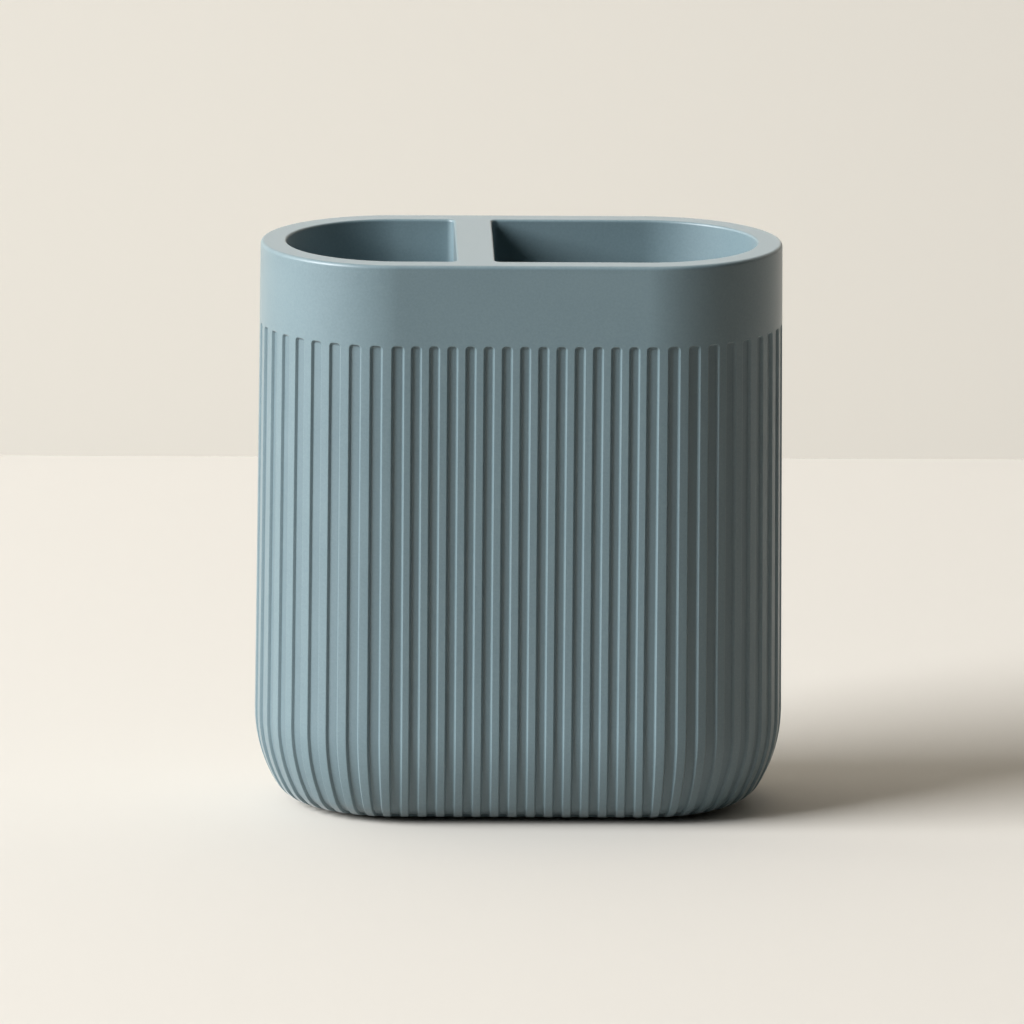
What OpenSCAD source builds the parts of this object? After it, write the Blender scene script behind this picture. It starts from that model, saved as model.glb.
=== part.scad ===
// Toothbrush holder with a small and a large compartment.
// A fluted outer shell carries a liner of two cups that hang from one rim and divider.
// Millimetres. X runs along the body, Y from front to back, Z up.
// The origin is on the surface it stands on, under the middle of the body.

/* [Body] */
// Length over the rim, end to end
body_l = 110; // [95:1:130]
// Depth over the rim, front to back
body_w = 58; // [52:1:66]
// Height from the surface it stands on to the rim
body_h = 121; // [90:1:150]
// Angle at which the outside widens downwards, in degrees
wall_draft = 0.54; // [0.2:0.02:0.8]
// Height of the plain band between the rim and the flutes
band_h = 17.2; // [8:0.2:30]
// Radius of the long curve that draws the wall in towards the sole
heel_r = 31; // [27:0.5:40]
// Height of the long and short curves above the sole
heel_h = 19.6; // [14:0.2:24]
// Radius of the short curve that runs into the flat sole
sole_r = 7.8; // [5:0.2:10]
// Wall of the outer shell
shell_t = 2.4; // [2:0.1:3]

/* [Flutes] */
// Depth of a flute
flute_d = 0.5; // [0.3:0.1:1.4]
// Flutes on the flat front, and as many on the back
flat_flutes = 13; // [9:1:17]
// Length of the flat that its flutes' pitches leave over, as a share of one pitch
flat_end_share = 0.68; // [0.4:0.02:0.9]
// How far the flat's flutes lie off the middle, towards the plus X end
flute_shift = 0.4; // [0:0.1:0.6]
// Flutes round each half-round end
end_flutes = 21; // [14:1:26]
// Width of a flute as a share of its pitch
flute_share = 0.53; // [0.4:0.01:0.62]
// Angle from the end of the flat to a round end's first flute, with no shift, in degrees
end_start = 1.3; // [1:0.1:4]
// Distance from the flat sole to where the flutes run out
flute_end = 0.8; // [0.4:0.1:2]

/* [Liner] */
// Width of the rim's top face, from the outside to the pockets
rim_w = 5.4; // [4.8:0.1:7]
// Height of the rim's edge, from the shell's mouth to the top
rim_h = 1.6; // [1.3:0.1:3]
// Rounding of the rim's outer edge
rim_round = 0.8; // [0.4:0.1:1.2]
// Rounding of the pockets' upper edges
pocket_round = 0.5; // [0.3:0.1:1]
// Radius of the upright corners beside the divider
pocket_corner = 1.5; // [1.2:0.1:4]
// Wall and floor of the two cups
liner_t = 2.2; // [1.6:0.1:2.3]
// Thickness of the divider, over both cup walls and the gap between them
divider_t = 8; // [6:0.5:12]
// Place of the divider's middle along the body
divider_x = -10; // [-14:1:14]
// Depth of the lip that centres the liner in the shell
lip_h = 4; // [2:0.5:8]
// Clearance between the lip and the shell
lip_gap = 0.2; // [0.1:0.05:0.3]
// Least clearance between the cups and the heel of the shell
cup_gap = 0.3; // [0.2:0.1:1]

/* [Seal] */
// Width of the groove for the seal in the shell's mouth
seal_w = 1; // [0.6:0.1:1.2]
// Height of the seal, and depth of its groove
seal_h = 0.9; // [0.5:0.1:1.5]
// Clearance at each side of the seal
seal_gap = 0.1; // [0.05:0.05:0.15]

/* [Feet] */
// Diameter of a foot
foot_d = 10; // [8:0.5:13]
// Thickness of a foot
foot_t = 2.4; // [1.8:0.1:3]
// How far a foot stands out of the sole
foot_stand = 0.8; // [0.4:0.1:1.2]
// Clearance round a foot in its recess
foot_gap = 0.1; // [0.05:0.05:0.2]
// Distance from a foot to the edge of the flat sole
foot_edge = 1.1; // [0.8:0.1:4]
// Rounding of a foot's lower edge
foot_round = 0.5; // [0.2:0.1:0.7]
// Width of the ring groove in a foot's underside
grip_w = 0.8; // [0.4:0.1:1.2]
// Depth of the ring groove in a foot's underside
grip_d = 0.4; // [0.2:0.1:0.6]

/* [Screws] */
// Diameter of a screw's thread
screw_d = 3; // [2.5:0.1:3.5]
// Diameter of a screw's head
head_d = 5.6; // [5:0.1:6.4]
// Height of a screw's head
head_h = 2; // [1.6:0.1:2.6]
// Clearance round a screw's head
head_gap = 0.4; // [0.2:0.1:0.6]
// Clearance round a screw where it passes through the shell
screw_gap = 0.2; // [0.1:0.05:0.3]
// Clearance round a screw in the liner's boss
pilot_gap = 0.05; // [0.02:0.01:0.1]
// Space between a screw's tip and the end of its hole
tip_room = 0.5; // [0.3:0.1:1]
// Space between a screw's head and the foot over it
head_room = 0.2; // [0.1:0.1:0.5]
// Thickness of the shell between a screw's head and the liner's boss
seat_t = 2.2; // [1.8:0.1:3]
// Diameter of the pad round a screw inside the shell
pad_d = 11; // [9.5:0.5:12]
// Diameter of the liner's bosses
boss_d = 8; // [6.5:0.5:10]
// Height of the liner's bosses
boss_h = 7.3; // [5:0.1:12]
// Width of a slot of the cross in a screw's head
cross_w = 0.8; // [0.5:0.1:1]
// Length of a slot of the cross in a screw's head
cross_l = 3; // [2:0.1:4]
// Depth of the cross in a screw's head
cross_d = 1.2; // [0.6:0.1:1.4]

/* [Hidden] */
$fn = 96;
// Overrun of every cut
over = 2;
blue = [0.40, 0.49, 0.52];
grey = [0.22, 0.24, 0.25];
steel = [0.75, 0.76, 0.78];

end_r = body_w / 2;
flat_l = body_l - body_w;
mouth_z = body_h - rim_h;
flute_top = body_h - band_h;

// The heel is a long and a short arc that meet in one tangent
heel_z = foot_stand + heel_h;
sole_z = foot_stand + sole_r;
heel_turn = asin((heel_h - sole_r) / (heel_r - sole_r));
heel_c = [wall_x(heel_z) - heel_r / cos(wall_draft), heel_z];
sole_c = [heel_c[0] + (heel_r - sole_r) * cos(heel_turn), sole_z];

flat_pitch = flat_l / (flat_flutes + flat_end_share);
// The round ends' first flutes move along with the flat's
shift_turn = asin(flute_shift / end_r);

pocket_r = end_r - rim_w;
seat_z = foot_t + head_room + head_h;
pad_z = seat_z + seat_t;
boss_top = pad_z + boss_h;
// The cups end on the bosses, or higher where the heel leaves them no room
heel_inside_r = heel_r - shell_t;
cup_reach = pocket_r + liner_t + cup_gap - heel_c[0];
cup_base = max(boss_top, heel_z - sqrt(heel_inside_r ^ 2 - cup_reach ^ 2));
cup_floor = cup_base + liner_t;
screw_l = seat_t + boss_h - tip_room;
foot_ring = sole_c[0] - foot_d / 2 - foot_edge;
foot_x = flat_l / 2 + foot_ring * cos(45);
foot_y = foot_ring * sin(45);

// Distance of the drafted outside from the middle line, at a height
function wall_x(z) = end_r + (body_h - z) * tan(wall_draft);

// Point on a circle
function on_arc(centre, radius, angle) = centre + radius * [cos(angle), sin(angle)];

// Where the divider's face lies, with the pocket on the plus side
function face_x(side) = side * divider_x + divider_t / 2;

// Section of the body's outside, set inwards by a wall, up to a height
module side_section(inset, top) {
  short_r = sole_r - inset;
  long_r = heel_r - inset;
  on_sole = on_arc(sole_c, short_r, -90);
  on_turn = on_arc(sole_c, short_r, -heel_turn);
  on_wall = on_arc(heel_c, long_r, wall_draft);
  at_top = [wall_x(top) - inset / cos(wall_draft), top];
  polygon([[0, on_sole[1]], on_sole, on_turn, on_wall, at_top, [0, top]]);
  intersection() {
    translate(sole_c)
      circle(r = short_r);
    polygon([
      sole_c,
      on_arc(sole_c, heel_r, -90),
      on_arc(sole_c, 2 * heel_r, -(90 + heel_turn) / 2),
      on_arc(sole_c, heel_r, -heel_turn)
    ]);
  }
  intersection() {
    translate(heel_c)
      circle(r = long_r);
    polygon([
      [0, heel_z],
      on_turn,
      on_arc(heel_c, 2 * heel_r, -heel_turn),
      on_arc(heel_c, 2 * heel_r, wall_draft),
      on_wall
    ]);
  }
}

// Sweeps a section round the whole body. The section's X is the distance from the middle line.
module around_body() {
  for (side = [-1, 1])
    translate([side * flat_l / 2, 0, 0])
      rotate([0, 0, -90 * side])
        rotate_extrude(angle = 180)
          children();
  for (turn = [0, 180])
    rotate([0, 0, turn])
      translate([-flat_l / 2, 0, 0])
        rotate([90, 0, 90])
          linear_extrude(height = flat_l)
            children();
}

// Strip of the drafted wall between two insets and two heights
module wall_strip(outer_inset, inner_inset, low, high) {
  polygon([
    [wall_x(low) - inner_inset, low],
    [wall_x(low) - outer_inset, low],
    [wall_x(high) - outer_inset, high],
    [wall_x(high) - inner_inset, high]
  ]);
}

// What a flute removes: everything outside the floor of the flutes, below the band
module flute_section() {
  difference() {
    translate([sole_c[0] + flute_end, 0])
      square([end_r, flute_top]);
    side_section(flute_d, mouth_z);
  }
}

module flat_flutes_cut() {
  width = flute_share * flat_pitch;
  first_x = flute_shift - (flat_flutes - 1) / 2 * flat_pitch;
  for (back = [0, 1], i = [0 : flat_flutes - 1])
    mirror([0, back, 0])
      translate([first_x + i * flat_pitch - width / 2, 0, 0])
        rotate([90, 0, 90])
          linear_extrude(height = width)
            flute_section();
}

// The flutes of one round end, spread evenly from its front to its back
module end_flutes_cut(side) {
  first_turn = end_start + side * shift_turn;
  pitch = (180 - 2 * first_turn) / (end_flutes - 1);
  width = flute_share * pitch;
  on_side(side)
    translate([flat_l / 2, 0, 0])
      for (i = [0 : end_flutes - 1])
        rotate([0, 0, first_turn - 90 + i * pitch - width / 2])
          rotate_extrude(angle = width)
            flute_section();
}

// Puts its children at the four feet
module at_feet() {
  for (x = [-foot_x, foot_x], y = [-foot_y, foot_y])
    translate([x, y, 0])
      children();
}

// Upright cylinder between two heights
module post(d, low, high) {
  translate([0, 0, low])
    cylinder(d = d, h = high - low);
}

module outer_shell() {
  floor_z = foot_stand + shell_t;
  color(blue)
    difference() {
      union() {
        difference() {
          around_body()
            side_section(0, mouth_z);
          around_body()
            side_section(shell_t, mouth_z + over);
        }
        at_feet()
          post(pad_d, floor_z - shell_t / 2, pad_z);
      }
      flat_flutes_cut();
      end_flutes_cut(-1);
      end_flutes_cut(1);
      around_body()
        wall_strip((shell_t - seal_w) / 2, (shell_t + seal_w) / 2, mouth_z - seal_h, mouth_z + over);
      at_feet() {
        post(foot_d + 2 * foot_gap, foot_stand - over, foot_t);
        post(head_d + 2 * head_gap, foot_t - over, seat_z);
        post(screw_d + 2 * screw_gap, seat_z - over, pad_z + over);
      }
    }
}

// Draws its children for the plus side, or mirrors them for the minus side
module on_side(side) {
  if (side > 0)
    children();
  else
    mirror([1, 0, 0])
      children();
}

// Outline of a pocket, grown outwards
module pocket_plan(side, grow) {
  face = face_x(side);
  corner_x = face + pocket_corner;
  corner_y = pocket_r - pocket_corner;
  on_side(side) {
    intersection() {
      translate([flat_l / 2, 0])
        circle(r = pocket_r + grow);
      translate([flat_l / 2, -end_r])
        square([end_r, 2 * end_r]);
    }
    translate([corner_x, -pocket_r - grow])
      square([flat_l / 2 - corner_x, 2 * (pocket_r + grow)]);
    translate([face - grow, -corner_y])
      square([flat_l / 2 - face, 2 * corner_y]);
    for (y = [-corner_y, corner_y])
      translate([corner_x, y])
        circle(r = pocket_corner + grow);
  }
}

// Sweeps a section along a pocket's outline. The section's X points away from the pocket.
module around_pocket(side) {
  face = face_x(side);
  corner_x = face + pocket_corner;
  corner_y = pocket_r - pocket_corner;
  on_side(side) {
    translate([flat_l / 2, 0, 0])
      rotate([0, 0, -90])
        rotate_extrude(angle = 180)
          translate([pocket_r, 0])
            children();
    translate([corner_x, 0, 0])
      rotate([90, 0, 90])
        linear_extrude(height = flat_l / 2 - corner_x)
          translate([pocket_r, 0])
            children();
    mirror([0, 1, 0])
      translate([corner_x, 0, 0])
        rotate([90, 0, 90])
          linear_extrude(height = flat_l / 2 - corner_x)
            translate([pocket_r, 0])
              children();
    translate([face, corner_y, 0])
      mirror([1, 0, 0])
        rotate([90, 0, 0])
          linear_extrude(height = 2 * corner_y)
            children();
    for (flip = [0, 1])
      mirror([0, flip, 0])
        translate([corner_x, corner_y, 0])
          rotate([0, 0, 90])
            rotate_extrude(angle = 90)
              translate([pocket_corner, 0])
                children();
  }
}

// Section of the rim's plate, with its outer edge rounded
module plate_section() {
  round_x = wall_x(body_h) - rim_round;
  round_z = body_h - rim_round;
  polygon([
    [0, mouth_z],
    [wall_x(mouth_z), mouth_z],
    [wall_x(body_h), round_z],
    [round_x, round_z],
    [round_x, body_h],
    [0, body_h]
  ]);
  intersection() {
    translate([round_x, round_z])
      circle(r = rim_round);
    translate([round_x, round_z])
      square(2 * rim_round);
  }
}

// What rounding the upper edge of a pocket removes
module edge_section() {
  inwards = pocket_corner / 2;
  difference() {
    translate([-inwards, body_h - pocket_round])
      square([inwards + pocket_round, pocket_round + over]);
    translate([pocket_round, body_h - pocket_round])
      circle(r = pocket_round);
  }
}

module cup_liner() {
  color(blue)
    difference() {
      union() {
        around_body()
          plate_section();
        around_body()
          wall_strip(shell_t + lip_gap, rim_w, mouth_z - lip_h, mouth_z + rim_h / 2);
        for (side = [-1, 1])
          translate([0, 0, cup_base])
            linear_extrude(height = mouth_z + rim_h / 2 - cup_base)
              pocket_plan(side, liner_t);
        at_feet()
          post(boss_d, pad_z, cup_base + liner_t / 2);
      }
      for (side = [-1, 1]) {
        translate([0, 0, cup_floor])
          linear_extrude(height = body_h + over - cup_floor)
            pocket_plan(side, 0);
        around_pocket(side)
          edge_section();
      }
      at_feet()
        post(screw_d + 2 * pilot_gap, pad_z - over, boss_top);
    }
}

module rim_seal() {
  color(grey)
    around_body()
      wall_strip(
        (shell_t - seal_w) / 2 + seal_gap,
        (shell_t + seal_w) / 2 - seal_gap,
        mouth_z - seal_h,
        mouth_z
      );
}

// Foot with a rounded lower edge and a ring groove underneath
module foot(side_x, side_y) {
  color(grey)
    translate([side_x * foot_x, side_y * foot_y, 0])
      difference() {
        rotate_extrude() {
          square([foot_d / 2 - foot_round, foot_t]);
          translate([0, foot_round])
            square([foot_d / 2, foot_t - foot_round]);
          intersection() {
            translate([foot_d / 2 - foot_round, foot_round])
              circle(r = foot_round);
            square([foot_d / 2, foot_t]);
          }
        }
        difference() {
          post(foot_d / 2 + grip_w, -over, grip_d);
          post(foot_d / 2 - grip_w, -over, grip_d + over);
        }
      }
}

module base_screws() {
  color(steel)
    at_feet()
      difference() {
        union() {
          post(head_d, seat_z - head_h, seat_z);
          post(screw_d, seat_z - head_h / 2, seat_z + screw_l - screw_d / 2);
          translate([0, 0, seat_z + screw_l - screw_d / 2])
            cylinder(d1 = screw_d, d2 = screw_d / 4, h = screw_d / 2);
        }
        for (turn = [0, 90])
          rotate([0, 0, turn])
            translate([-cross_l / 2, -cross_w / 2, seat_z - head_h - over])
              cube([cross_l, cross_w, cross_d + over]);
      }
}

outer_shell();
cup_liner();
rim_seal();
foot(-1, -1);  // foot_front_left
foot(1, -1);  // foot_front_right
foot(-1, 1);  // foot_back_left
foot(1, 1);  // foot_back_right
base_screws();
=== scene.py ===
import math

import bmesh
import bpy
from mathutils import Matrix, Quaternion, Vector
from mathutils.geometry import tessellate_polygon


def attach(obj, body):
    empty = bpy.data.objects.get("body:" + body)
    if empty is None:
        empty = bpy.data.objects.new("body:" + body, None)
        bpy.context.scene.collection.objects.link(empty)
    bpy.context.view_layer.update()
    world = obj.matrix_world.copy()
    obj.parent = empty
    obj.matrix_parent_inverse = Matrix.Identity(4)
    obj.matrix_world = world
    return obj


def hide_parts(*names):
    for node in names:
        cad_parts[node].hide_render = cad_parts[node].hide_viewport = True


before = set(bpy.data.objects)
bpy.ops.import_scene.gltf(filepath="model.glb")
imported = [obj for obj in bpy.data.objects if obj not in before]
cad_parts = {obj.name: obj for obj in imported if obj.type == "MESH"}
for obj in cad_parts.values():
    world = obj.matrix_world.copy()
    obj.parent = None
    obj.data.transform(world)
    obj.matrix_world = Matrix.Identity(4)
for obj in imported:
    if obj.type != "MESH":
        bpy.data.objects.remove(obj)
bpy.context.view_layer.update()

# Sizes are in millimetres until make_piece turns them into metres. Colours are linear.
MM = 0.001

# Body, as in the CAD source. Its wall leans out downwards by DRAFT, a long arc of HEEL_R and a
# short one of SOLE_R draw it in to the sole, and the feet hold the sole FOOT_STAND off the floor.
FLAT_L = 52.0
END_R = 29.0
BODY_H = 121.0
RIM_H = 1.6
DRAFT = math.radians(0.54)
BAND_H = 17.2
HEEL_R = 31.0
HEEL_H = 19.6
SOLE_R = 7.8
SHELL_T = 2.4
FOOT_STAND = 0.8
MOUTH_Z = BODY_H - RIM_H
FLOOR_Z = FOOT_STAND + SHELL_T

# Flutes of the flats and the round ends. FLUTE_SHARE is a flute's width in pitches.
FLAT_FLUTES = 13
END_FLUTES = 21
FLUTE_SHARE = 0.53
# What a flat measures beyond its flutes, in pitches
FLAT_END_SHARE = 0.68
# How far the flutes of both flats sit off their middle, towards the large pocket
FLUTE_SHIFT = 0.4
# Angle past the flat at which a round end's first flute lies
END_START = math.radians(1.3)
# How far from the flat of the sole the flutes end
FLUTE_END = 0.8
# Radius at which a flute of the round ends has its full width
PATH_R = 29.4

# Section of a flute: its depth, the lean of its walls, and its rounded edges and corners
FLUTE_D = 0.59
FLUTE_SLOPE = math.radians(31)
FLUTE_EDGE = 0.16
FLUTE_FILLET = 0.12
FLUTE_CORNER = 0.6
# How far a flute's walls stand in at half their depth from the plain cut of the CAD source
FLUTE_INSET = 0.06

# Rim, divider and pockets
RIM_W = 5.4
RIM_ROUND = 0.8
POCKET_ROUND = 0.5
POCKET_CORNER = 1.5
POCKET_FILLET = 1.2
POCKET_R = END_R - RIM_W
LINER_T = 2.2
DIVIDER_T = 8.0
DIVIDER_X = -10.0
LIP_H = 4.0
LIP_GAP = 0.2
LIP_CHAMFER = 0.4
CUP_BASE = 14.1
CUP_ROUND = 1.0

# Seal
SEAL_W = 1.0
SEAL_H = 0.9
SEAL_GAP = 0.1

# Feet and screws
FOOT_D = 10.0
FOOT_T = 2.4
FOOT_GAP = 0.1
FOOT_EDGE = 1.1
FOOT_ROUND = 0.5
FOOT_CHAMFER = 0.12
GRIP_W = 0.8
GRIP_D = 0.4
RECESS_EDGE = 0.2
SCREW_D = 3.0
HEAD_D = 5.6
HEAD_H = 2.0
HEAD_DOME = 0.8
HEAD_CHAMFER = 0.15
HEAD_GAP = 0.4
HEAD_ROOM = 0.2
SCREW_GAP = 0.2
PILOT_GAP = 0.05
SEAT_T = 2.2
PAD_D = 11.0
BOSS_D = 8.0
BOSS_H = 7.3
BOSS_FILLET = 0.3
TIP_ROOM = 0.5
# Share of its width that a screw keeps at its tip
TIP_SHARE = 0.25
THREAD_PITCH = 1.0
THREAD_D = 0.28
# How steep the thread's flanks are: at 1 they meet at its root, and above 1 the root is flat
THREAD_STEEP = 2.2
CROSS_W = 0.8
CROSS_L = 3.0
CROSS_D = 1.2
# Share of its size that the cross has at its floor
CROSS_TAPER = 0.8
SEAT_Z = FOOT_T + HEAD_ROOM + HEAD_H
PAD_Z = SEAT_Z + SEAT_T

# How finely shapes are cut up: round a flute and its land, a circle, the seal and a thread's turn
CELL_STEPS = 12
CIRCLE_STEPS = 48
SEAL_STEPS = 12
THREAD_STEPS = 8
# How far beside a rounded edge a row of points keeps its flat neighbour flat
HOLD = 0.1
# Edges that meet at more than this angle are shaded sharp
SHARP = math.radians(38)
# Value of the flutes' floors in the wear attribute, which marks them for painted shade that
# darkens them; rubbed edges have values from 0 to 1
SHADED_FLOOR_MARK = -1.0

# The photograph's camera: angles in radians, lens and sensor in millimetres, the rest in metres
VIEW_TURN = -0.020
VIEW_RISE = 0.2108
VIEW_ROLL = 0.008
VIEW_AWAY = 2.542
VIEW_LENS = 421.875
VIEW_SENSOR = 36.0
VIEW_AIM_Z = 0.061
VIEW_LEFT = 1.578 * MM
VIEW_UP = 1.443 * MM
VIEW_CLIP_START = 0.05
VIEW_CLIP_END = 20

# Floor and wall, in metres
STAGE_W = 3.0
WALL_Y = 0.355
WALL_H = 2.5
STAGE_FLOOR = (0.68, 0.647, 0.595)
STAGE_WALL = (0.99, 0.93, 0.83)
# Shares of their colour that they throw back, at STAGE_NEAR from the object and at STAGE_FAR
FLOOR_THROWN = (0.55, 0.10)
WALL_THROWN = (0.95, 0.95)
STAGE_NEAR = 0.1
STAGE_FAR = 0.7

# Light from all round, beside the lamps
WORLD_COLOUR = (1.0, 0.98, 0.95, 1.0)
WORLD_POWER = 0.01

# Colours of the materials: two tones that blend in broad patches, and those laid over them
BLUE = ((0.126, 0.197, 0.225), (0.141, 0.215, 0.243))
BLUE_SPECK = (0.19, 0.275, 0.30)
BLUE_RUBBED = (0.30, 0.39, 0.42)
# Painted shade, which the paint lays on the flutes' floors
BLUE_PAINTED_SHADE = (0.055, 0.095, 0.115)
FOOT_GREY = ((0.05, 0.055, 0.06), (0.065, 0.07, 0.075))
SEAL_GREY = ((0.04, 0.045, 0.05), (0.055, 0.06, 0.065))
DUST = (0.16, 0.16, 0.155)
STEEL = ((0.50, 0.50, 0.51), (0.63, 0.63, 0.64))
STEEL_RUBBED = (0.75, 0.75, 0.76)

# Range in which most values of a noise texture lie
NOISE_LOW = 0.3
NOISE_HIGH = 0.7
# Places of a mix node's sockets for colours, behind those of the same names for numbers
MIX_FIRST = 6
MIX_SECOND = 7
MIX_RESULT = 2


class Shape:
    """Points and faces of one piece, with a value at each point for wear and for painted shade.
    """

    def __init__(self):
        self.points = []
        self.wear_and_shade = []
        self.faces = []

    def ring(self, points, wear_and_shade=0.0):
        """Adds points and returns their numbers."""
        start = len(self.points)
        self.points.extend(points)
        self.wear_and_shade.extend([wear_and_shade] * len(points))
        return list(range(start, len(self.points)))

    def strip(self, first, second, closed=True):
        """Joins two rings of equal length with quads."""
        count = len(first)
        for i in range(count if closed else count - 1):
            j = (i + 1) % count
            self.faces.append((first[i], first[j], second[j], second[i]))

    def tube(self, rings):
        """Joins each ring to the next."""
        for first, second in zip(rings, rings[1:]):
            self.strip(first, second)

    def fill(self, *rings):
        """Closes a flat region. The first ring is its outside and the others are holes."""
        loops = [[Vector(self.points[i]) for i in ring] for ring in rings]
        names = [i for ring in rings for i in ring]
        for corners in tessellate_polygon(loops):
            self.faces.append(tuple(names[i] for i in corners))


def add_object(name, data):
    thing = bpy.data.objects.new(name, data)
    bpy.context.scene.collection.objects.link(thing)
    return thing


def make_piece(name, shape, material, slot, *nodes):
    """Turns a shape into an object that stands for CAD nodes."""
    mesh = bpy.data.meshes.new(name)
    points = [(x * MM, y * MM, z * MM) for x, y, z in shape.points]
    mesh.from_pydata(points, [], shape.faces)
    wear_and_shade = mesh.attributes.new("wear_and_shade", "FLOAT", "POINT")
    wear_and_shade.data.foreach_set("value", shape.wear_and_shade)
    mesh.update()
    mesh.validate()
    face_outwards(mesh)
    mesh.shade_smooth()
    mesh.set_sharp_from_angle(angle=SHARP)
    mesh.materials.append(material)
    piece = add_object(name, mesh)
    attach(piece, "root")
    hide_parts(*nodes)


def face_outwards(mesh):
    work = bmesh.new()
    work.from_mesh(mesh)
    bmesh.ops.recalc_face_normals(work, faces=work.faces)
    work.to_mesh(mesh)
    work.free()


def spread(low, high, steps):
    """Evenly spaced values from low to high, both included."""
    return [low + (high - low) * i / steps for i in range(steps + 1)]


def quarter(steps):
    """Angles of a quarter of a circle."""
    return spread(0.0, math.pi / 2, steps)


def edge_wear(a):
    """Wear over a rounded edge: most at its middle, and none where it ends."""
    return math.sin(2 * a) ** 2


def circle(x, y, r, z):
    turns = [2 * math.pi * i / CIRCLE_STEPS for i in range(CIRCLE_STEPS)]
    return [(x + r * math.cos(a), y + r * math.sin(a), z) for a in turns]


def lathe(shape, x, y, profile):
    """Turns a profile of (radius, height, wear) about an upright line and returns its rings."""
    rings = [shape.ring(circle(x, y, r, z), wear_and_shade) for r, z, wear_and_shade in profile]
    shape.tube(rings)
    return rings


def feet_places():
    """Middles of the feet: front left, front right, back left and back right."""
    ring = heel_points()["sole"][0] - FOOT_D / 2 - FOOT_EDGE
    x = FLAT_L / 2 + ring * math.cos(math.pi / 4)
    y = ring * math.sin(math.pi / 4)
    return [(-x, -y), (x, -y), (-x, y), (x, y)]


def wall_x(z):
    """Distance of the drafted outside from the middle line."""
    return END_R + (BODY_H - z) * math.tan(DRAFT)


def heel_points():
    """Centres of the heel's long and short arcs, and the angle at which they meet."""
    turn = math.asin((HEEL_H - SOLE_R) / (HEEL_R - SOLE_R))
    heel_z = FOOT_STAND + HEEL_H
    heel = (wall_x(heel_z) - HEEL_R / math.cos(DRAFT), heel_z)
    sole = (heel[0] + (HEEL_R - SOLE_R) * math.cos(turn), FOOT_STAND + SOLE_R)
    return {"heel": heel, "sole": sole, "turn": turn}


class Side:
    """The body's outside from the mouth down to the sole, by the length walked along it."""

    def __init__(self):
        heel = heel_points()
        self.heel, self.sole, self.turn = heel["heel"], heel["sole"], heel["turn"]
        wall_low = self.heel[1] + HEEL_R * math.sin(DRAFT)
        self.wall = (MOUTH_Z - wall_low) / math.cos(DRAFT)
        self.long_arc = HEEL_R * (DRAFT + self.turn)
        short_arc = SOLE_R * (math.pi / 2 - self.turn)
        self.end = self.wall + self.long_arc + short_arc

    def at(self, walked):
        """Distance from the middle line, height, and the outward direction in that plane."""
        if walked <= self.wall:
            z = MOUTH_Z - walked * math.cos(DRAFT)
            return wall_x(z), z, math.cos(DRAFT), math.sin(DRAFT)
        if walked <= self.wall + self.long_arc:
            centre, radius = self.heel, HEEL_R
            angle = DRAFT - (walked - self.wall) / HEEL_R
        else:
            centre, radius = self.sole, SOLE_R
            angle = -self.turn - (walked - self.wall - self.long_arc) / SOLE_R
        out, up = math.cos(angle), math.sin(angle)
        return centre[0] + radius * out, centre[1] + radius * up, out, up


SIDE = Side()
HALF_TURN_L = math.pi * PATH_R
PATH_L = 2 * FLAT_L + 2 * HALF_TURN_L


def on_path(along):
    """Point of the middle line and outward direction, by the length walked round the body."""
    along = (along + FLAT_L / 2) % PATH_L
    half = FLAT_L + HALF_TURN_L
    flip = 1 if along < half else -1
    along = along % half
    if along < FLAT_L:
        return flip * (along - FLAT_L / 2), 0.0, 0.0, -flip
    angle = (along - FLAT_L) / PATH_R - math.pi / 2
    return flip * FLAT_L / 2, 0.0, flip * math.cos(angle), flip * math.sin(angle)


def shell_point(along, walked, depth):
    """Point of the shell, round the body, down its side, and so deep inside it."""
    x, y, nx, ny = on_path(along)
    r, z, out, up = SIDE.at(walked)
    reach = r - depth * out
    return x + nx * reach, y + ny * reach, z - depth * up


def flute_places():
    """Middle and half width of each flute, round the body."""
    flat_pitch = FLAT_L / (FLAT_FLUTES + FLAT_END_SHARE)
    places = []
    for side in (1, -1):
        start = 0.0 if side > 0 else FLAT_L + HALF_TURN_L
        for i in range(FLAT_FLUTES):
            middle = side * FLUTE_SHIFT + (i - (FLAT_FLUTES - 1) / 2) * flat_pitch
            places.append((start + middle, FLUTE_SHARE * flat_pitch / 2 - FLUTE_INSET))
        first_turn = END_START + side * math.asin(FLUTE_SHIFT / END_R)
        pitch = (math.pi - 2 * first_turn) / (END_FLUTES - 1)
        for i in range(END_FLUTES):
            middle = FLAT_L / 2 + (first_turn + i * pitch) * PATH_R
            places.append((start + middle, FLUTE_SHARE * pitch * PATH_R / 2 - FLUTE_INSET))
    return places


def flute_wall():
    """Steps from the land to a flute's floor: distance outside its edge, depth, and a wear value,
    which at the fillet and floor marks painted shade.
    """
    lean = math.tan(FLUTE_SLOPE)
    full = math.pi / 2 - FLUTE_SLOPE
    edge_x = (FLUTE_D / 2 - FLUTE_EDGE) * lean + FLUTE_EDGE / math.cos(FLUTE_SLOPE)
    foot_x = (FLUTE_D / 2 - FLUTE_FILLET) * lean + FLUTE_FILLET / math.cos(FLUTE_SLOPE)
    steps = [(edge_x + HOLD, 0.0, 0.0)]
    for a in spread(0.0, full, steps=4):
        depth = FLUTE_EDGE * (1 - math.cos(a))
        steps.append((edge_x - FLUTE_EDGE * math.sin(a), depth, edge_wear(a)))
    # The fillet and the floor carry the mark for painted shade
    for a in spread(full, 0.0, steps=3):
        depth = FLUTE_D - FLUTE_FILLET * (1 - math.cos(a))
        steps.append((FLUTE_FILLET * math.sin(a) - foot_x, depth, SHADED_FLOOR_MARK))
    steps.append((-foot_x - HOLD, FLUTE_D, SHADED_FLOOR_MARK))
    return steps


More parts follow.
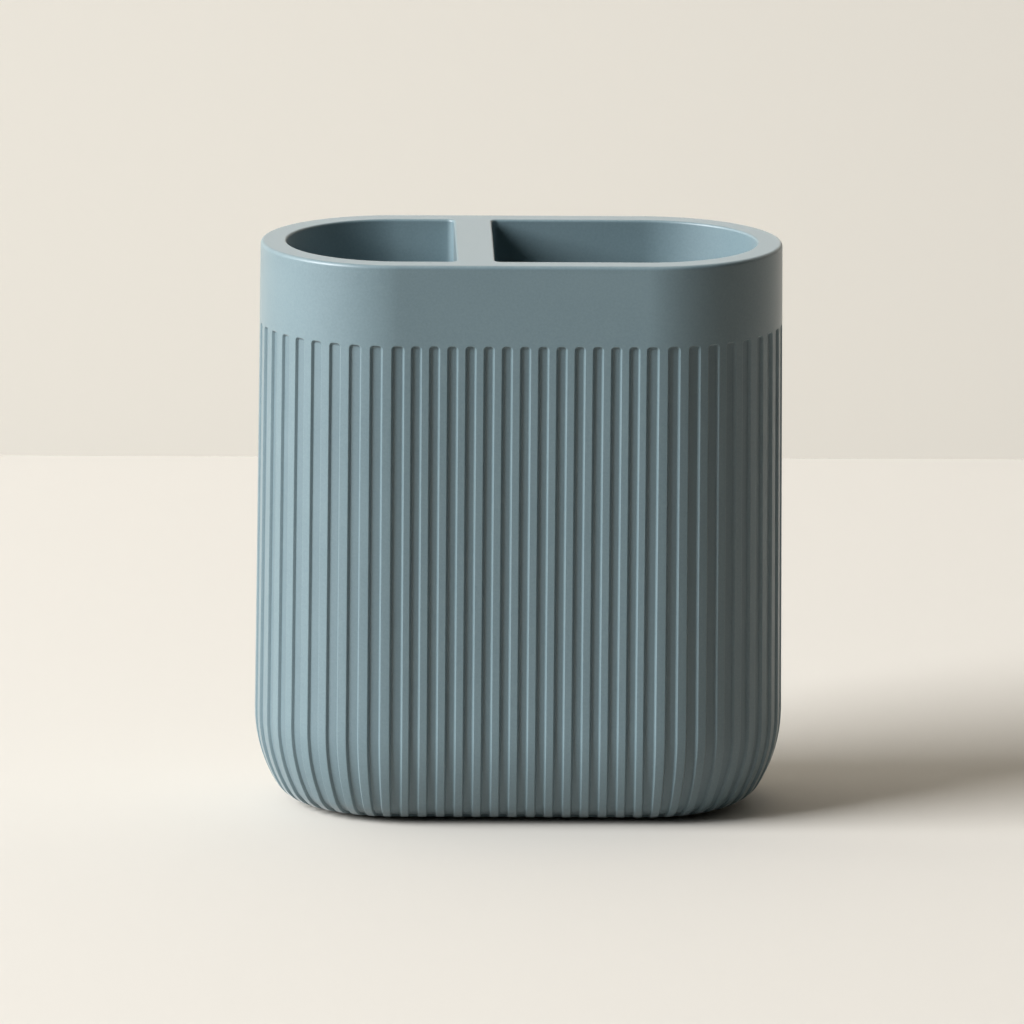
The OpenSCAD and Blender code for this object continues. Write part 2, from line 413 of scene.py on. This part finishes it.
def flute_rows(top, bottom):
    """Lengths down the side at which a flute has points on both its walls."""
    first, last = top + FLUTE_CORNER, bottom - FLUTE_CORNER
    heel = SIDE.wall + SIDE.long_arc
    rows = spread(first, SIDE.wall, steps=5)
    rows += spread(SIDE.wall, heel, steps=10)[1:]
    rows += spread(heel, last, steps=9)[1:]
    return rows


def flute_loop(middle, half, top, bottom, grow, rows):
    """Outline of a flute, grown outwards: over the top, down one side, and back up the other.
    It gives the top's points, the bottom's, and those of the two sides between them."""
    r = FLUTE_CORNER + grow
    inner_x = half - FLUTE_CORNER
    over = []
    for a in quarter(steps=4):
        over.append((middle - inner_x - r * math.cos(a), top + FLUTE_CORNER - r * math.sin(a)))
    for share in spread(-1.0, 1.0, steps=4)[1:-1]:
        over.append((middle + share * inner_x, top - grow))
    for a in reversed(quarter(steps=4)):
        over.append((middle + inner_x + r * math.cos(a), top + FLUTE_CORNER - r * math.sin(a)))
    under = [(along, top + bottom - walked) for along, walked in over]
    left = [(middle - half - grow, walked) for walked in rows[1:-1]]
    right = [(middle + half + grow, walked) for walked in rows[1:-1]]
    return over, under, left, right


def add_flute(shape, middle, half, left_land, right_land, top_row, sole_row, rows, ends):
    """Cuts one flute between two columns of the lands and two rows across them."""
    top, bottom = ends
    loops = []
    for grow, depth, wear_and_shade in flute_wall():
        parts = flute_loop(middle, half, top, bottom, grow, rows)
        loops.append([
            shape.ring([shell_point(a, w, depth) for a, w in part], wear_and_shade) for part in parts
        ])
    for outer, inner in zip(loops, loops[1:]):
        shape.strip(outer[0], inner[0], closed=False)
        shape.strip(outer[1], inner[1], closed=False)
        for side, end in ((2, 0), (3, -1)):
            first = [outer[0][end]] + outer[side] + [outer[1][end]]
            second = [inner[0][end]] + inner[side] + [inner[1][end]]
            shape.strip(first, second, closed=False)
    over, under, left, right = loops[0]
    shape.strip(top_row, over, closed=False)
    shape.strip(sole_row, under, closed=False)
    for land, side, end in ((left_land, left, 0), (right_land, right, -1)):
        shape.strip(land, [over[end]] + side + [under[end]], closed=False)
        shape.faces.append((top_row[end], land[0], over[end]))
        shape.faces.append((sole_row[end], land[-1], under[end]))
    over, under, left, right = loops[-1]
    # The floor's middle carries the mark for painted shade
    floor_mid = shape.ring([shell_point(middle, walked, FLUTE_D) for walked in rows], SHADED_FLOOR_MARK)
    shape.strip([over[0]] + left + [under[0]], floor_mid, closed=False)
    shape.strip([over[-1]] + right + [under[-1]], floor_mid, closed=False)
    shape.faces.append(tuple(over) + (floor_mid[0],))
    shape.faces.append(tuple(under) + (floor_mid[-1],))


def shell_columns(places):
    """Lengths round the body of the columns that cross the band, cell by cell."""
    lands = []
    count = len(places)
    for i in range(count):
        middle, half = places[i]
        after, after_half = places[(i + 1) % count]
        if i == count - 1:
            after += PATH_L
        lands.append((middle + half + after - after_half) / 2)
    columns = []
    for i in range(count):
        left = lands[i - 1] - (PATH_L if i == 0 else 0)
        columns.extend(spread(left, lands[i], CELL_STEPS)[:-1])
    return columns


def make_shell(material):
    """The fluted casing, from the plain band at its mouth to its sole and its inside."""
    shape = Shape()
    places = flute_places()
    columns = shell_columns(places)
    top = (BAND_H - RIM_H) / math.cos(DRAFT)
    bottom = SIDE.end - SOLE_R * math.asin(FLUTE_END / SOLE_R)
    rows = flute_rows(top, bottom)
    # The band's last row keeps clear of the flutes' rounded ends
    band_l = top - FLUTE_EDGE - 3 * FLUTE_CORNER

    def ring(walked):
        return shape.ring([shell_point(along, walked, 0.0) for along in columns])

    band = [ring(walked) for walked in spread(0.0, band_l, steps=4)]
    shape.tube(band)
    sole = ring(SIDE.end)
    count = len(places)
    lands = []
    for i in range(count):
        along = columns[i * CELL_STEPS]
        lands.append(shape.ring([shell_point(along, walked, 0.0) for walked in rows]))
    for i, (middle, half) in enumerate(places):
        cell = [(i * CELL_STEPS + k) % len(columns) for k in range(CELL_STEPS + 1)]
        top_row = [band[-1][k] for k in cell]
        sole_row = [sole[k] for k in cell]
        right_land = lands[(i + 1) % count]
        add_flute(shape, middle, half, lands[i], right_land, top_row, sole_row, rows,
                  (top, bottom))
    inner_floor = add_shell_inside(shape, columns, band[0])
    add_sole(shape, columns, sole, inner_floor)
    make_piece("shell", shape, material, "shell", "outer_shell")


def add_shell_inside(shape, columns, mouth):
    """Adds the mouth with the groove for the seal, and the inner wall down to the floor."""
    def ring(walked, depth):
        return shape.ring([shell_point(along, walked, depth) for along in columns])

    near, far = (SHELL_T - SEAL_W) / 2, (SHELL_T + SEAL_W) / 2
    rings = [mouth, ring(0, near), ring(SEAL_H, near), ring(SEAL_H, far), ring(0, far)]
    rings.append(ring(0, SHELL_T))
    heel = SIDE.wall + SIDE.long_arc
    walked = spread(0.0, SIDE.wall, steps=2)[1:] + spread(SIDE.wall, heel, steps=5)[1:]
    walked += spread(heel, SIDE.end, steps=6)[1:]
    rings += [ring(w, SHELL_T) for w in walked]
    shape.tube(rings)
    return rings[-1]


def add_sole(shape, columns, sole, inner_floor):
    """Adds the flat sole and the floor over it, with the recesses and pads at the feet."""
    def flat_ring(inwards, z):
        reach = SIDE.at(SIDE.end)[0] - inwards
        points = []
        for along in columns:
            x, y, nx, ny = on_path(along)
            points.append((x + nx * reach, y + ny * reach, z))
        return shape.ring(points)

    held_sole = flat_ring(2 * HOLD, FOOT_STAND)
    held_floor = flat_ring(2 * HOLD, FLOOR_Z)
    shape.strip(sole, held_sole)
    shape.strip(inner_floor, held_floor)
    recess_r = FOOT_D / 2 + FOOT_GAP
    head_r = HEAD_D / 2 + HEAD_GAP
    hole_r = SCREW_D / 2 + SCREW_GAP
    edge, rubbed = RECESS_EDGE, 0.5
    under, over = [], []
    for x, y in feet_places():
        profile = [(recess_r + edge + HOLD, FOOT_STAND, 0.0)]
        for a in quarter(steps=3):
            r = recess_r + edge * (1 - math.sin(a))
            profile.append((r, FOOT_STAND + edge * (1 - math.cos(a)), rubbed))
        profile += [
            (recess_r, FOOT_T, 0.0),
            (head_r + edge, FOOT_T, 0.0),
            (head_r, FOOT_T + edge, 0.0),
            (head_r, SEAT_Z, 0.0),
            (hole_r, SEAT_Z, 0.0),
            (hole_r, PAD_Z, 0.0),
            (PAD_D / 2 - edge, PAD_Z, 0.0),
            (PAD_D / 2, PAD_Z - edge, 0.0),
            (PAD_D / 2, FLOOR_Z + edge, 0.0),
            (PAD_D / 2 + edge, FLOOR_Z, 0.0),
        ]
        rings = lathe(shape, x, y, profile)
        under.append(rings[0])
        over.append(rings[-1])
    shape.fill(held_sole, *under)
    shape.fill(held_floor, *over)


def body_outline():
    """Points of the middle line and outward directions round the whole body."""
    places = []
    for flip in (1, -1):
        for share in spread(-1.0, 1.0, steps=16)[:-1]:
            places.append((flip * share * FLAT_L / 2, 0.0, 0.0, -flip))
        for a in spread(-math.pi / 2, math.pi / 2, steps=96)[:-1]:
            places.append((flip * FLAT_L / 2, 0.0, flip * math.cos(a), flip * math.sin(a)))
    return places


def arc(x, y, r, start, end, steps):
    """Points and outward directions of an arc from one angle to another."""
    turns = [(math.cos(a), math.sin(a)) for a in spread(start, end, steps)]
    return [(x + r * nx, y + r * ny, nx, ny) for nx, ny in turns]


def pocket_outline(side):
    """Points and directions away from the pocket, round the outline of one pocket."""
    face = side * DIVIDER_X + DIVIDER_T / 2
    corner_x, corner_y = face + POCKET_CORNER, POCKET_R - POCKET_CORNER
    turn = math.pi / 2
    places = arc(FLAT_L / 2, 0.0, POCKET_R, -turn, turn, steps=84)
    places += [(x, POCKET_R, 0.0, 1.0) for x in spread(FLAT_L / 2, corner_x, steps=8)[1:-1]]
    places += arc(corner_x, corner_y, POCKET_CORNER, turn, 2 * turn, steps=6)
    places += [(face, y, -1.0, 0.0) for y in spread(corner_y, -corner_y, steps=10)[1:-1]]
    places += arc(corner_x, -corner_y, POCKET_CORNER, 2 * turn, 3 * turn, steps=6)
    places += [(x, -POCKET_R, 0.0, -1.0) for x in spread(corner_x, FLAT_L / 2, steps=8)[1:-1]]
    return [(side * x, y, side * nx, ny) for x, y, nx, ny in places]


def grown(outline, grow, z):
    """An outline moved outwards, at a height."""
    return [(x + nx * grow, y + ny * grow, z) for x, y, nx, ny in outline]


def make_liner(material):
    """The rim with its lip and divider, and the two cups that hang from it."""
    shape = Shape()
    outline = body_outline()
    lip_r = wall_x(MOUTH_Z) - SHELL_T - LIP_GAP
    lip_z = MOUTH_Z - LIP_H
    edge_z = BODY_H - RIM_ROUND
    levels = [
        (lip_r - LIP_CHAMFER, lip_z, 0.0),
        (lip_r, lip_z + LIP_CHAMFER, 0.0),
        (lip_r, MOUTH_Z, 0.0),
        (wall_x(MOUTH_Z), MOUTH_Z, 0.0),
        (END_R, edge_z - HOLD, 0.0),
    ]
    for a in quarter(steps=7):
        r = END_R - RIM_ROUND * (1 - math.cos(a))
        levels.append((r, edge_z + RIM_ROUND * math.sin(a), edge_wear(a)))
    levels.append((END_R - RIM_ROUND - HOLD, BODY_H, 0.0))
    rings = [shape.ring(grown(outline, r, z), wear_and_shade) for r, z, wear_and_shade in levels]
    shape.tube(rings)
    tops, undersides = [], []
    for side in (-1, 1):
        outline = pocket_outline(side)
        tops.append(add_pocket(shape, outline))
        undersides.append(add_cup(shape, outline, side, lip_z))
    shape.fill(rings[-1], *tops)
    shape.fill(rings[0], *undersides)
    make_piece("liner", shape, material, "liner", "cup_liner")


def add_pocket(shape, outline):
    """Adds a pocket's inside, from the ring that holds its upper edge to its floor."""
    floor_z = CUP_BASE + LINER_T
    levels = [(POCKET_ROUND + HOLD, BODY_H, 0.0)]
    for a in quarter(steps=6):
        drop = POCKET_ROUND * (1 - math.cos(a))
        levels.append((POCKET_ROUND * (1 - math.sin(a)), BODY_H - drop, edge_wear(a)))
    levels.append((0.0, BODY_H - POCKET_ROUND - HOLD, 0.0))
    levels.append((0.0, floor_z + POCKET_FILLET + HOLD, 0.0))
    for a in quarter(steps=5):
        drop = POCKET_FILLET * math.sin(a)
        inwards = POCKET_FILLET * (1 - math.cos(a))
        levels.append((-inwards, floor_z + POCKET_FILLET - drop, 0.0))
    levels.append((-POCKET_FILLET - HOLD, floor_z, 0.0))
    rings = [shape.ring(grown(outline, grow, z), wear_and_shade) for grow, z, wear_and_shade in levels]
    shape.tube(rings)
    shape.fill(rings[-1])
    return rings[0]


def add_cup(shape, outline, side, lip_z):
    """Adds a cup's outside below the lip, with its two bosses."""
    levels = [(LINER_T, lip_z)]
    for a in quarter(steps=4):
        grow = LINER_T - CUP_ROUND * (1 - math.cos(a))
        levels.append((grow, CUP_BASE + CUP_ROUND * (1 - math.sin(a))))
    rings = [shape.ring(grown(outline, grow, z)) for grow, z in levels]
    shape.tube(rings)
    hole_r = SCREW_D / 2 + PILOT_GAP
    bosses = []
    for x, y in feet_places():
        if x * side < 0:
            continue
        profile = [
            (BOSS_D / 2 + BOSS_FILLET, CUP_BASE, 0.0),
            (BOSS_D / 2, CUP_BASE - BOSS_FILLET, 0.0),
            (BOSS_D / 2, PAD_Z, 0.0),
            (hole_r + BOSS_FILLET, PAD_Z, 0.0),
            (hole_r, PAD_Z + BOSS_FILLET, 0.0),
            (hole_r, CUP_BASE, 0.0),
        ]
        boss = lathe(shape, x, y, profile)
        shape.fill(boss[-1])
        bosses.append(boss[0])
    shape.fill(rings[-1], *bosses)
    return rings[0]


def make_seal(material):
    """A closed band with a rounded section, in the groove of the shell's mouth."""
    shape = Shape()
    outline = body_outline()
    near = (SHELL_T - SEAL_W) / 2 + SEAL_GAP
    far = (SHELL_T + SEAL_W) / 2 - SEAL_GAP
    half = (far - near) / 2
    middle_r = wall_x(MOUTH_Z) - near - half
    rings = []
    for i in range(SEAL_STEPS):
        a = 2 * math.pi * (i + 0.5) / SEAL_STEPS
        across, up = math.cos(a), math.sin(a)
        # The circle's points move out towards the corners of the square around it
        bulge = max(abs(across), abs(up)) ** 0.5
        z = MOUTH_Z - SEAL_H / 2 + up * SEAL_H / 2 / bulge * math.cos(math.pi / SEAL_STEPS)
        r = middle_r + across * half / bulge
        rings.append(shape.ring(grown(outline, r, z)))
    shape.tube(rings + rings[:1])
    make_piece("seal", shape, material, "seal", "rim_seal")


def make_foot(name, x, y, material, node):
    """A rubber disc with a rounded lower edge and a ring groove underneath."""
    shape = Shape()
    r, soft = FOOT_D / 2, FOOT_CHAMFER
    worn_flat, worn_slope, worn_edge = 0.2, 0.4, 0.6
    profile = [(r - 2 * soft, FOOT_T, 0.0), (r - soft, FOOT_T, 0.0), (r, FOOT_T - soft, 0.0)]
    for a in quarter(steps=6):
        drop = FOOT_ROUND * math.sin(a)
        inwards = FOOT_ROUND * (1 - math.cos(a))
        profile.append((r - inwards, FOOT_ROUND - drop, edge_wear(a)))
    profile.append((r - FOOT_ROUND - HOLD, 0.0, worn_flat))
    far, near = r / 2 + GRIP_W / 2, r / 2 - GRIP_W / 2
    profile += [
        (far + soft + HOLD, 0.0, worn_flat),
        (far + soft, 0.0, worn_edge),
        (far + soft / 4, soft / 4, worn_slope),
        (far, soft, 0.0),
        (far, GRIP_D - soft, 0.0),
        (far - soft, GRIP_D, 0.0),
        (near + soft, GRIP_D, 0.0),
        (near, GRIP_D - soft, 0.0),
        (near, soft, 0.0),
        (near - soft / 4, soft / 4, worn_slope),
        (near - soft, 0.0, worn_edge),
        (near - soft - HOLD, 0.0, worn_flat),
    ]
    rings = lathe(shape, x, y, profile)
    shape.fill(rings[0])
    shape.fill(rings[-1])
    make_piece(name, shape, material, "foot", node)


def cross_outline(x, y, z, share):
    """Outline of the cross in a screw's head, drawn in towards its middle by a share."""
    long, wide = CROSS_L / 2 * share, CROSS_W / 2 * share
    arms = []
    for turn in range(4):
        c, s = round(math.cos(turn * math.pi / 2)), round(math.sin(turn * math.pi / 2))
        for px, py in ((long, -wide), (long, wide), (wide, wide)):
            arms.append((x + c * px - s * py, y + s * px + c * py, z))
    return arms


def add_screw(shape, x, y):
    """A pan-head screw with a cross in its head and a rolled thread."""
    head_r, head_z = HEAD_D / 2, SEAT_Z - HEAD_H
    worn_dome, worn_side, worn_cross = 0.7, 0.3, 0.8
    profile = [(head_r - HEAD_DOME - HOLD, head_z, 0.0)]
    for a in quarter(steps=5):
        r = head_r - HEAD_DOME * (1 - math.sin(a))
        profile.append((r, head_z + HEAD_DOME * (1 - math.cos(a)), worn_dome))
    profile += [
        (head_r, SEAT_Z - HEAD_CHAMFER, worn_side),
        (head_r - HEAD_CHAMFER, SEAT_Z, 0.0),
        (SCREW_D / 2, SEAT_Z, 0.0),
    ]
    rings = lathe(shape, x, y, profile)
    cross = shape.ring(cross_outline(x, y, head_z, 1.0), worn_cross)
    deep = shape.ring(cross_outline(x, y, head_z + CROSS_D, CROSS_TAPER))
    shape.fill(rings[0], cross)
    shape.strip(cross, deep)
    shape.fill(deep)
    add_thread(shape, x, y, rings[-1])


def add_thread(shape, x, y, neck):
    """Adds a screw's shank from its neck to its tip, with the thread wound up it."""
    length = SEAT_T + BOSS_H - TIP_ROOM
    tip_l = SCREW_D / 2
    rows = int(length / THREAD_PITCH * THREAD_STEPS)
    rings = [neck]
    for k in range(1, rows + 1):
        up = length * k / rows
        fade = min(1.0, up / THREAD_PITCH, (length - up) / tip_l)
        taper = min(1.0, TIP_SHARE + (1 - TIP_SHARE) * (length - up) / tip_l)
        points = []
        for i in range(CIRCLE_STEPS):
            a = 2 * math.pi * i / CIRCLE_STEPS
            phase = (up / THREAD_PITCH - i / CIRCLE_STEPS) % 1.0
            cut = THREAD_D * fade * min(1.0, THREAD_STEEP * abs(2 * phase - 1))
            r = (SCREW_D / 2 - cut) * taper
            points.append((x + r * math.cos(a), y + r * math.sin(a), SEAT_Z + up))
        rings.append(shape.ring(points))
    shape.tube(rings)
    shape.fill(rings[-1])


def make_screws(material):
    shape = Shape()
    for x, y in feet_places():
        add_screw(shape, x, y)
    make_piece("screws", shape, material, "screw", "base_screws")


class Paint:
    """One procedural material. Its textures lie in the object's own coordinates, in metres."""

    def __init__(self, name):
        self.material = bpy.data.materials.new(name)
        self.material.use_nodes = True
        self.tree = self.material.node_tree
        self.shader = self.tree.nodes["Principled BSDF"]
        self.place = self.add("ShaderNodeTexCoord").outputs["Object"]

    def add(self, kind, **settings):
        node = self.tree.nodes.new(kind)
        for key, value in settings.items():
            setattr(node, key, value)
        return node

    def join(self, output, target):
        self.tree.links.new(output, target)

    def noise(self, size, detail, rough=0.5):
        """Noise whose patches are about so many millimetres across."""
        node = self.add("ShaderNodeTexNoise")
        self.join(self.place, node.inputs["Vector"])
        node.inputs["Scale"].default_value = 1 / (size * MM)
        node.inputs["Detail"].default_value = detail
        node.inputs["Roughness"].default_value = rough
        return node.outputs["Fac"]

    def to_range(self, value, low, high, from_low=NOISE_LOW, from_high=NOISE_HIGH):
        """Maps a value to the range from low to high, by default that of a noise texture."""
        node = self.add("ShaderNodeMapRange")
        self.join(value, node.inputs["Value"])
        node.inputs["From Min"].default_value = from_low
        node.inputs["From Max"].default_value = from_high
        node.inputs["To Min"].default_value = low
        node.inputs["To Max"].default_value = high
        return node.outputs["Result"]

    def reckon(self, operation, first, second):
        """Works with two links, or with a link and a number."""
        node = self.add("ShaderNodeMath", operation=operation)
        self.join(first, node.inputs[0])
        if isinstance(second, float):
            node.inputs[1].default_value = second
        else:
            self.join(second, node.inputs[1])
        return node.outputs["Value"]

    def mix(self, share, first, second):
        """Mixes two colours, or links to them, by a share."""
        node = self.add("ShaderNodeMix", data_type="RGBA")
        self.join(share, node.inputs["Factor"])
        for place, colour in ((MIX_FIRST, first), (MIX_SECOND, second)):
            if isinstance(colour, tuple):
                node.inputs[place].default_value = colour + (1.0,)
            else:
                self.join(colour, node.inputs[place])
        return node.outputs[MIX_RESULT]

    def wear_and_shade(self):
        """The values that the shape has at its points: wear at rubbed edges, and below 0 the
        painted shade of the flutes' floors.
        """
        node = self.add("ShaderNodeAttribute", attribute_name="wear_and_shade")
        return node.outputs["Fac"]

    def bump(self, height, millimetres):
        """Raises the surface by a texture of the given height."""
        node = self.add("ShaderNodeBump")
        node.inputs["Strength"].default_value = 1.0
        node.inputs["Distance"].default_value = millimetres * MM
        self.join(height, node.inputs["Height"])
        self.join(node.outputs["Normal"], self.shader.inputs["Normal"])

    def drive(self, colour, rough):
        """Leads textures to the shader's colour and roughness."""
        self.join(colour, self.shader.inputs["Base Color"])
        self.join(rough, self.shader.inputs["Roughness"])

    def set(self, **values):
        """Gives the shader's own sockets even values."""
        names = {
            "rough": "Roughness",
            "specular": "Specular IOR Level",
            "metal": "Metallic",
            "sheen": "Sheen Weight",
            "sheen_rough": "Sheen Roughness",
            "coat": "Coat Weight",
            "coat_rough": "Coat Roughness",
        }
        for key, value in values.items():
            self.shader.inputs[names[key]].default_value = value


def soft_touch(name, patch):
    """Matte moulded plastic with a soft-touch coat: dusty blue, finely grained, paler at rubbed
    edges, and with painted shade that darkens the flutes' floors. Its tones blend in patches of
    so many millimetres."""
    paint = Paint(name)
    broad = paint.noise(size=patch, detail=3.0)
    grain = paint.noise(size=0.5, detail=3.0, rough=0.6)
    base = paint.mix(paint.to_range(broad, low=0.0, high=1.0), *BLUE)
    specked = paint.mix(paint.to_range(grain, low=0.0, high=0.45), base, BLUE_SPECK)
    rub = paint.to_range(paint.noise(size=6.0, detail=4.0), low=0.15, high=1.0)
    wear_and_shade, most_rubbed = paint.wear_and_shade(), 0.22
    rubbed = paint.reckon("MULTIPLY", paint.reckon("MULTIPLY", wear_and_shade, rub), most_rubbed)
    colour = paint.mix(rubbed, specked, BLUE_RUBBED)
    # Painted shade: points marked as flute floor, below 0, are mixed towards a dark blue
    painted_shade = paint.to_range(wear_and_shade, low=0.24, high=0.0, from_low=SHADED_FLOOR_MARK, from_high=0.0)
    colour = paint.mix(painted_shade, colour, BLUE_PAINTED_SHADE)
    uneven = paint.reckon("ADD", broad, grain)
    rough = paint.to_range(uneven, low=0.54, high=0.62, from_low=0.7, from_high=1.3)
    paint.drive(colour, rough)
    paint.set(specular=0.75, sheen=0.3, sheen_rough=0.4, coat=0.55, coat_rough=0.3)
    paint.bump(grain, millimetres=0.012)
    return paint.material


def rubber(name, tones):
    """Dull rubber with a fine moulded grain and dusty edges."""
    paint = Paint(name)
    broad = paint.noise(size=3.0, detail=3.0)
    grain = paint.noise(size=0.25, detail=2.0)
    base = paint.mix(paint.to_range(broad, low=0.0, high=1.0), *tones)
    dust = paint.reckon("MULTIPLY", paint.wear_and_shade(), paint.to_range(grain, low=0.1, high=0.5))
    paint.drive(paint.mix(dust, base, DUST), paint.to_range(grain, low=0.68, high=0.82))
    paint.set(specular=0.35)
    paint.bump(grain, millimetres=0.02)
    return paint.material


def steel(name):
    """Plain stainless steel with fine turning marks and rubbed edges."""
    paint = Paint(name)
    broad = paint.noise(size=1.5, detail=3.0)
    fine = paint.noise(size=0.12, detail=2.0)
    base = paint.mix(paint.to_range(broad, low=0.0, high=1.0), *STEEL)
    most_rubbed = 0.3
    rubbed = paint.reckon("MULTIPLY", paint.wear_and_shade(), most_rubbed)
    paint.drive(paint.mix(rubbed, base, STEEL_RUBBED), paint.to_range(fine, low=0.28, high=0.42))
    paint.set(metal=1.0)
    paint.bump(fine, millimetres=0.004)
    return paint.material


def stage_paint(name, colour, thrown):
    """Plain matte paint. The camera and reflections see its full colour, but it throws back only
    a share of that, which differs near the object and far from it."""
    paint = Paint(name)
    path = paint.add("ShaderNodeLightPath").outputs
    seen = paint.reckon("ADD", path["Is Camera Ray"], path["Is Glossy Ray"])
    seen = paint.reckon("ADD", seen, path["Is Transmission Ray"])
    away = paint.add("ShaderNodeVectorMath", operation="LENGTH")
    paint.join(paint.place, away.inputs[0])
    distance = away.outputs["Value"]
    share = paint.to_range(distance, low=0.0, high=1.0, from_low=STAGE_NEAR, from_high=STAGE_FAR)
    near, far = (tuple(part * value for value in colour) for part in thrown)
    shown = paint.mix(seen, paint.mix(share, near, far), colour)
    paint.join(shown, paint.shader.inputs["Base Color"])
    paint.set(rough=0.9, specular=0.1)
    clear_from_behind(paint)
    return paint.material


def clear_from_behind(paint):
    """Makes the backs of faces clear, so that the stage hides no view of the object."""
    clear = paint.add("ShaderNodeBsdfTransparent")
    both = paint.add("ShaderNodeMixShader")
    paint.join(paint.add("ShaderNodeNewGeometry").outputs["Backfacing"], both.inputs[0])
    paint.join(paint.shader.outputs["BSDF"], both.inputs[1])
    paint.join(clear.outputs["BSDF"], both.inputs[2])
    paint.join(both.outputs["Shader"], paint.tree.nodes["Material Output"].inputs["Surface"])


def make_stage():
    """A pale floor, and a wall that stands on it behind the object."""
    floor_paint = stage_paint("stage_floor", STAGE_FLOOR, FLOOR_THROWN)
    wall_paint = stage_paint("stage_wall", STAGE_WALL, WALL_THROWN)
    w, y, h = STAGE_W, WALL_Y, WALL_H
    panes = (
        ("floor", floor_paint, [(-w, -w, 0), (w, -w, 0), (w, w, 0), (-w, w, 0)]),
        ("wall", wall_paint, [(-w, y, 0), (w, y, 0), (w, y, h), (-w, y, h)]),
    )
    for name, paint, corners in panes:
        mesh = bpy.data.meshes.new(name)
        mesh.from_pydata(corners, [], [(0, 1, 2, 3)])
        mesh.materials.append(paint)
        thing = add_object(name, mesh)


def direction(turn, rise):
    """Unit vector towards a place, by its angles round from the front and up from the floor."""
    out = math.cos(rise)
    return Vector((math.sin(turn) * out, -math.cos(turn) * out, math.sin(rise)))


def lamp(name, turn, rise, away, size, power, colour):
    """A square area lamp that faces the object. Its angles are in degrees."""
    light = bpy.data.lights.new(name, "AREA")
    light.shape = "SQUARE"
    light.size = size
    light.energy = power
    light.color = colour
    thing = add_object(name, light)
    way = direction(math.radians(turn), math.radians(rise))
    thing.location = Vector((0, 0, VIEW_AIM_Z)) + way * away
    thing.rotation_mode = "QUATERNION"
    thing.rotation_quaternion = (-way).to_track_quat("-Z", "Y")


def make_lights():
    """A large cool key lamp from the left, and a faint warm one over the back."""
    lamp("key", turn=-70, rise=29, away=5.0, size=3.0, power=525, colour=(0.96, 0.98, 1.0))
    lamp("top", turn=165, rise=78, away=1.5, size=0.7, power=1.5, colour=(1.0, 0.76, 0.5))
    world = bpy.data.worlds.new("studio")
    world.use_nodes = True
    background = world.node_tree.nodes["Background"]
    background.inputs["Color"].default_value = WORLD_COLOUR
    background.inputs["Strength"].default_value = WORLD_POWER
    bpy.context.scene.world = world


def make_camera():
    """The photograph's view: a long lens, a little to the left and above."""
    back = direction(VIEW_TURN, VIEW_RISE)
    data = bpy.data.cameras.new("camera")
    data.sensor_width = VIEW_SENSOR
    data.lens = VIEW_LENS
    data.clip_start = VIEW_CLIP_START
    data.clip_end = VIEW_CLIP_END
    camera = add_object("camera", data)
    turned = (-back).to_track_quat("-Z", "Y") @ Quaternion((0, 0, 1), VIEW_ROLL)
    camera.rotation_mode = "QUATERNION"
    camera.rotation_quaternion = turned
    aim = Vector((0, 0, VIEW_AIM_Z))
    shift = turned @ Vector((-VIEW_LEFT, VIEW_UP, 0))
    camera.location = aim + back * VIEW_AWAY + shift
    bpy.context.scene.camera = camera


def build():
    """Makes the eight pieces, each with its material."""
    shell_blue = soft_touch("soft_touch_shell", patch=18.0)
    liner_blue = soft_touch("soft_touch_liner", patch=14.0)
    foot_rubber = rubber("foot_rubber", FOOT_GREY)
    silicone = rubber("seal_silicone", SEAL_GREY)
    make_shell(shell_blue)
    make_liner(liner_blue)
    make_seal(silicone)
    names = ("front_left", "front_right", "back_left", "back_right")
    for name, (x, y) in zip(names, feet_places()):
        make_foot("foot_pad_" + name, x, y, foot_rubber, "foot_" + name)
    make_screws(steel("stainless"))


build()
make_stage()
make_lights()
make_camera()
bpy.context.scene.view_settings.view_transform = "Standard"
